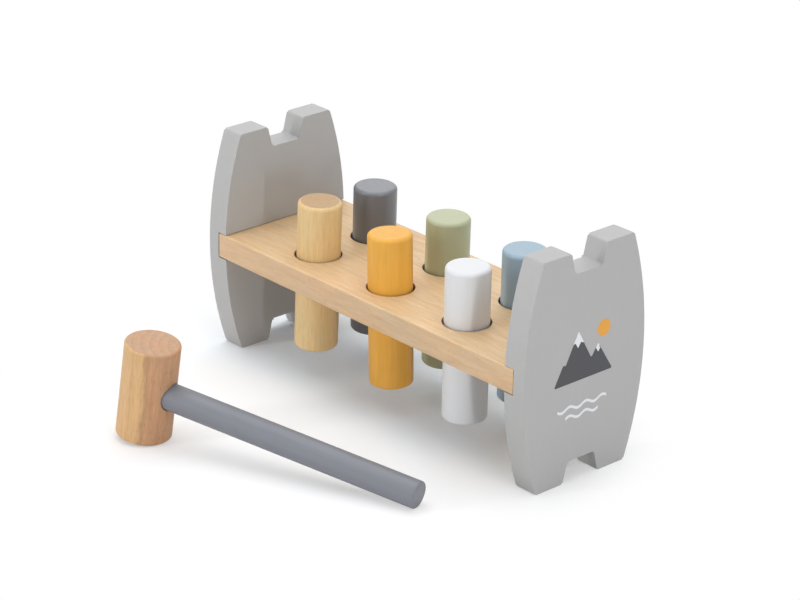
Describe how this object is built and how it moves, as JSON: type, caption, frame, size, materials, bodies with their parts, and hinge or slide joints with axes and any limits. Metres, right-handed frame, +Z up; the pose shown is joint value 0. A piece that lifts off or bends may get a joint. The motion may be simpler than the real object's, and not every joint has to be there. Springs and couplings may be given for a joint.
{
  "type": "peg pounding bench",
  "caption": "Wooden pounding bench toy: a board between two grey end panels holds coloured round pegs that a small mallet drives through.",
  "frame": {"origin": "on the floor, at the middle of the box around the bench and the mallet that lies in front of it", "axes": "+X along the bench to the right end panel, +Y from the mallet to the bench, +Z up"},
  "size_m": [0.24, 0.192, 0.123],
  "materials": {
    "grey_paint": "matt light grey paint on sanded wood, softly rounded edges",
    "beech": "clear matt beech with fine grain and small flecks",
    "dowel_beech": "plain turned beech",
    "natural_peg": "clear matt pale wood with straight grain",
    "yellow_paint": "satin ochre yellow paint on wood",
    "white_paint": "satin white paint on wood",
    "charcoal_paint": "satin dark grey paint on wood",
    "green_paint": "satin sage green paint on wood",
    "blue_paint": "satin light blue paint on wood",
    "black_rubber": "smooth black rubber",
    "mallet_beech": "clear matt steamed beech, reddish, grain along the head",
    "charcoal_ink": "matt dark grey printing ink, a thin raised layer",
    "white_ink": "matt off-white printing ink, a thin raised layer",
    "orange_ink": "matt orange printing ink, a thin raised layer",
    "slate_paint": "satin slate grey paint on a wooden rod"
  },
  "bodies": {
    "bench": {"left_end_panel": "grey_paint", "right_end_panel": "grey_paint", "bench_board": "beech", "left_front_dowel": "dowel_beech", "left_back_dowel": "dowel_beech", "right_front_dowel": "dowel_beech", "right_back_dowel": "dowel_beech", "natural_peg_ring": "black_rubber", "yellow_peg_ring": "black_rubber", "white_peg_ring": "black_rubber", "charcoal_peg_ring": "black_rubber", "green_peg_ring": "black_rubber", "blue_peg_ring": "black_rubber"},
    "natural_peg": {"natural_peg": "natural_peg"},
    "yellow_peg": {"yellow_peg": "yellow_paint"},
    "white_peg": {"white_peg": "white_paint"},
    "charcoal_peg": {"charcoal_peg": "charcoal_paint"},
    "green_peg": {"green_peg": "green_paint"},
    "blue_peg": {"blue_peg": "blue_paint"},
    "mallet": {"mallet_head": "mallet_beech", "mallet_handle": "slate_paint"}
  },
  "joints": [
    {"name": "natural_peg_slide", "type": "slide", "parent": "bench", "child": "natural_peg", "axis": [0.0349, 0, 0.9994], "range_m": [-0.015, 0.0235]},
    {"name": "yellow_peg_slide", "type": "slide", "parent": "bench", "child": "yellow_peg", "axis": [-0.0349, 0, 0.9994], "range_m": [-0.0145, 0.0245]},
    {"name": "white_peg_slide", "type": "slide", "parent": "bench", "child": "white_peg", "axis": [0, 0, 1], "range_m": [-0.0155, 0.024]},
    {"name": "charcoal_peg_slide", "type": "slide", "parent": "bench", "child": "charcoal_peg", "axis": [0.0175, 0, 0.9998], "range_m": [-0.014, 0.025]},
    {"name": "green_peg_slide", "type": "slide", "parent": "bench", "child": "green_peg", "axis": [0.0175, 0, 0.9998], "range_m": [-0.014, 0.025]},
    {"name": "blue_peg_slide", "type": "slide", "parent": "bench", "child": "blue_peg", "axis": [0.0087, 0, 1], "range_m": [-0.014, 0.0255]},
    {"name": "mallet_lift", "type": "slide", "parent": "bench", "child": "mallet", "axis": [0, 0, 1], "range_m": [0, 0.2]}
  ]
}
